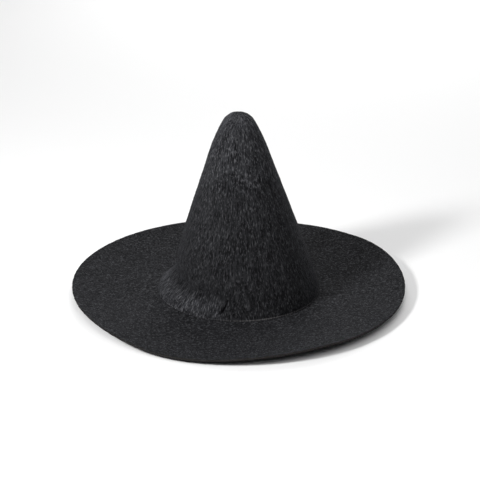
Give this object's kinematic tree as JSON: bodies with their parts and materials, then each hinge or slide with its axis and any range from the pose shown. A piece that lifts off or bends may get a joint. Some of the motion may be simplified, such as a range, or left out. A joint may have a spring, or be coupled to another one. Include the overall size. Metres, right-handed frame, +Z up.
{
  "type": "witch hat",
  "caption": "Small pointed witch hat in black felt: a moulded conical crown with a rounded tip, glued by its turned-out foot to a round, slightly dished brim, and open underneath.",
  "frame": {"origin": "centre of the hat, on the surface that it stands on", "axes": "+Z up along the crown's axis, -Y towards the front"},
  "size_m": [0.127, 0.127, 0.071],
  "materials": {
    "crown_felt": "matte black felt, brushed lengthwise by the moulding",
    "brim_felt": "matte black felt, short tangled fibres",
    "glue": "dried hot-melt glue, slightly glossy"
  },
  "bodies": {
    "root": {"crown": "crown_felt", "brim": "brim_felt", "glue_ring": "glue"}
  },
  "joints": []
}
